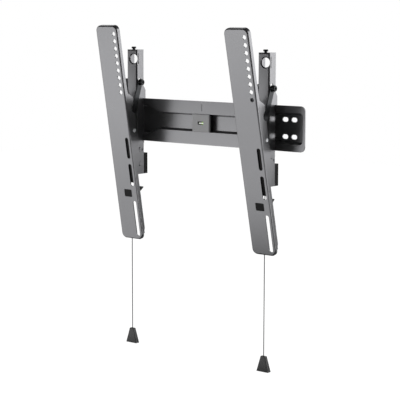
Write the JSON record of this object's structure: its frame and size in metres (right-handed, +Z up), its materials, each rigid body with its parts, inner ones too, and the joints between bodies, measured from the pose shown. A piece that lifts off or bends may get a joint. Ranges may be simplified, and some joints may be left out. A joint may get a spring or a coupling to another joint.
{
  "type": "tilting tv wall bracket",
  "caption": "Wall plate with a spirit level and hooked brackets that carry tilting arms for a flat screen, released by cords.",
  "frame": {"origin": "middle of the wall plate, on the wall", "axes": "+X along the wall plate, +Y into the wall, +Z up"},
  "size_m": [0.48, 0.1183, 0.6485],
  "materials": {
    "powder_coat": "satin graphite powder coat",
    "blackened_steel": "black plated, satin",
    "zinc_steel": "bright plated",
    "pad_rubber": "matte",
    "black_plastic": "fine moulded texture",
    "grey_plastic": "fine moulded texture",
    "vial": "clear vial of tinted liquid",
    "cord": "braided cord"
  },
  "bodies": {
    "wall": {"wall_plate": "powder_coat", "level_housing": "grey_plastic", "level_vial": "vial"},
    "left_carrier": {"left_tilt_bracket": "powder_coat", "left_pivot_ears": "powder_coat", "left_ear_rivets": "zinc_steel", "left_top_screw": "blackened_steel", "left_wall_pad": "pad_rubber", "left_latch_guides": "blackened_steel", "left_spring_post": "zinc_steel", "left_latch_spring": "zinc_steel"},
    "left_swing": {"left_arm": "powder_coat", "left_wall_buffer": "black_plastic", "left_pivot_pin": "zinc_steel", "left_pivot_spacers": "blackened_steel", "left_link_pin": "zinc_steel", "left_link_spacers": "blackened_steel"},
    "left_links": {"left_link_outer": "powder_coat", "left_link_inner": "powder_coat", "left_tilt_bolt": "blackened_steel", "left_tilt_nut": "blackened_steel"},
    "left_catch": {"left_latch": "blackened_steel", "left_pull_cord": "cord", "left_pull_handle": "black_plastic"},
    "right_carrier": {"right_tilt_bracket": "powder_coat", "right_pivot_ears": "powder_coat", "right_ear_rivets": "zinc_steel", "right_top_screw": "blackened_steel", "right_wall_pad": "pad_rubber", "right_latch_guides": "blackened_steel", "right_spring_post": "zinc_steel", "right_latch_spring": "zinc_steel"},
    "right_swing": {"right_arm": "powder_coat", "right_wall_buffer": "black_plastic", "right_pivot_pin": "zinc_steel", "right_pivot_spacers": "blackened_steel", "right_link_pin": "zinc_steel", "right_link_spacers": "blackened_steel"},
    "right_links": {"right_link_outer": "powder_coat", "right_link_inner": "powder_coat", "right_tilt_bolt": "blackened_steel", "right_tilt_nut": "blackened_steel"},
    "right_catch": {"right_latch": "blackened_steel", "right_pull_cord": "cord", "right_pull_handle": "black_plastic"}
  },
  "joints": [
    {"name": "left_bracket_slide", "type": "slide", "parent": "wall", "child": "left_carrier", "axis": [1, 0, 0], "range_m": [-0.04, 0.06]},
    {"name": "left_tilt", "type": "hinge", "parent": "left_carrier", "child": "left_swing", "pos_m": [-0.161, -0.05, -0.073], "axis": [1, 0, 0], "range_deg": [-10, 3]},
    {"name": "left_link_swing", "type": "hinge", "parent": "left_swing", "child": "left_links", "pos_m": [-0.161, -0.0563, -0.01826], "axis": [1, 0, 0], "range_deg": [-4.96, 16.08]},
    {"name": "left_latch_pull", "type": "slide", "parent": "left_carrier", "child": "left_catch", "axis": [0, 0, 1], "range_m": [-0.008, 0], "stiffness_N_per_m": 150, "springref_m": 0.02, "deforming": ["left_latch_spring"]},
    {"name": "right_bracket_slide", "type": "slide", "parent": "wall", "child": "right_carrier", "axis": [1, 0, 0], "range_m": [-0.06, 0.04]},
    {"name": "right_tilt", "type": "hinge", "parent": "right_carrier", "child": "right_swing", "pos_m": [0.161, -0.05, -0.073], "axis": [1, 0, 0], "range_deg": [-12.5, 0.5]},
    {"name": "right_link_swing", "type": "hinge", "parent": "right_swing", "child": "right_links", "pos_m": [0.161, -0.05868, -0.01859], "axis": [1, 0, 0], "range_deg": [-0.99, 20.07]},
    {"name": "right_latch_pull", "type": "slide", "parent": "right_carrier", "child": "right_catch", "axis": [0, 0, 1], "range_m": [-0.008, 0], "stiffness_N_per_m": 150, "springref_m": 0.02, "deforming": ["right_latch_spring"]}
  ],
  "couplings": [
    {"joint": "left_link_swing", "follows": "left_tilt", "ratio": -1.5882},
    {"joint": "right_link_swing", "follows": "right_tilt", "ratio": -1.5893}
  ]
}
